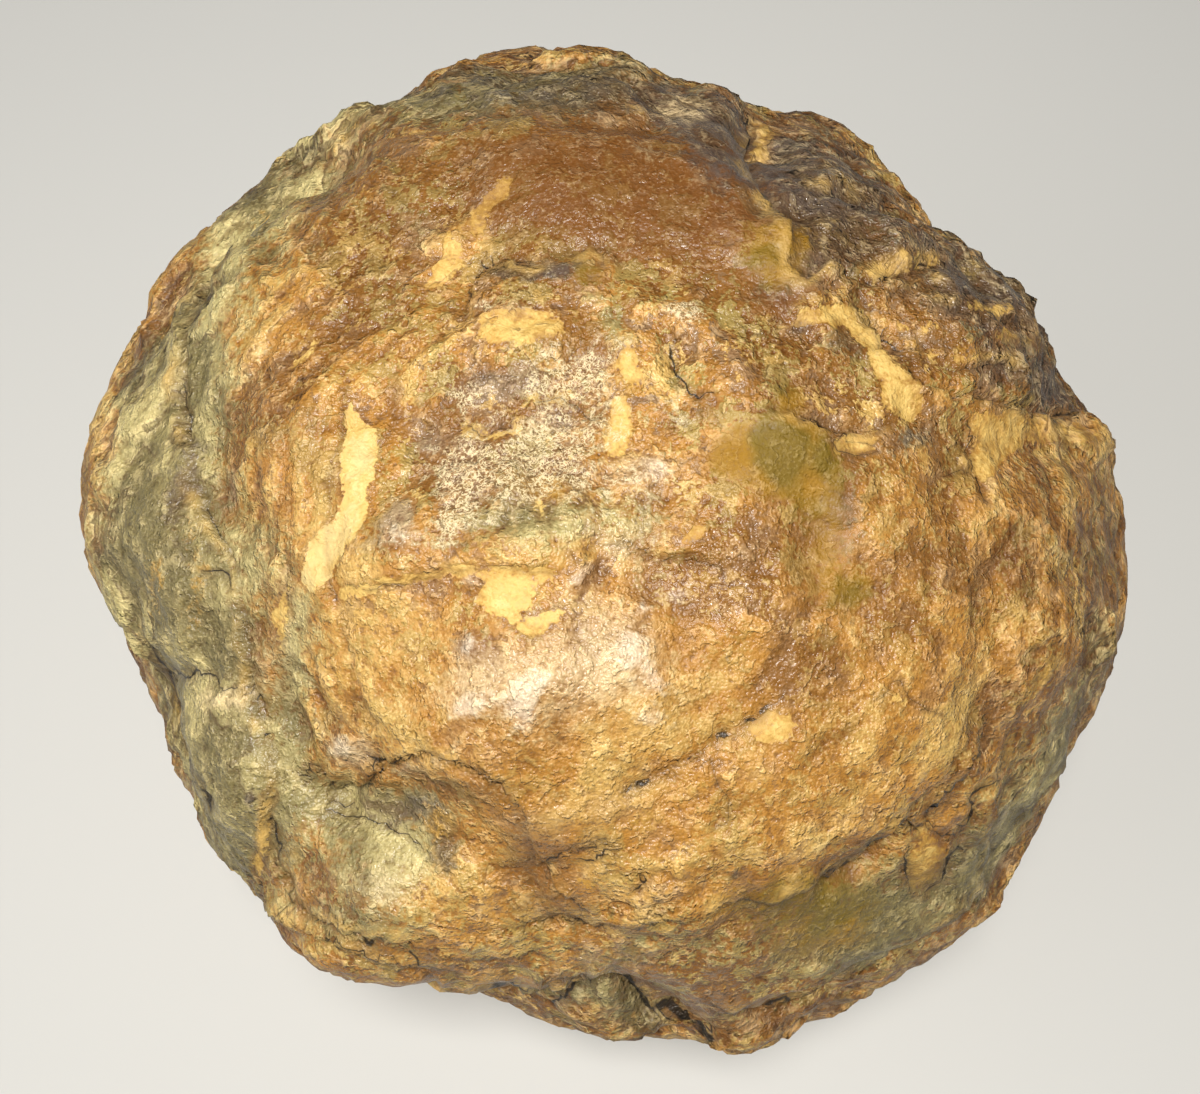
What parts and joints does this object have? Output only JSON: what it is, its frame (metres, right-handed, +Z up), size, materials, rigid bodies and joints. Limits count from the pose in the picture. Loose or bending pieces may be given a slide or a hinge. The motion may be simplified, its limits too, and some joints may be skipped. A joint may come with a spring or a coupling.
{
  "type": "agate nodule",
  "caption": "Rounded agate nodule with a weathered, iron-stained rind that flakes in shells; it lies on a small flat spot.",
  "frame": {"origin": "middle of the flat spot that the stone lies on, straight below the stone's centre", "axes": "+Z up, square to the flat spot; the show face looks up and leans 20.5 degrees towards -Y; +X to the right as the show face is seen"},
  "size_m": [0.1003, 0.0973, 0.0879],
  "materials": {
    "rind": "waxy weathered rind, iron-stained orange brown with ochre, olive and grey patches"
  },
  "bodies": {
    "root": {"nodule": "rind"}
  },
  "joints": []
}
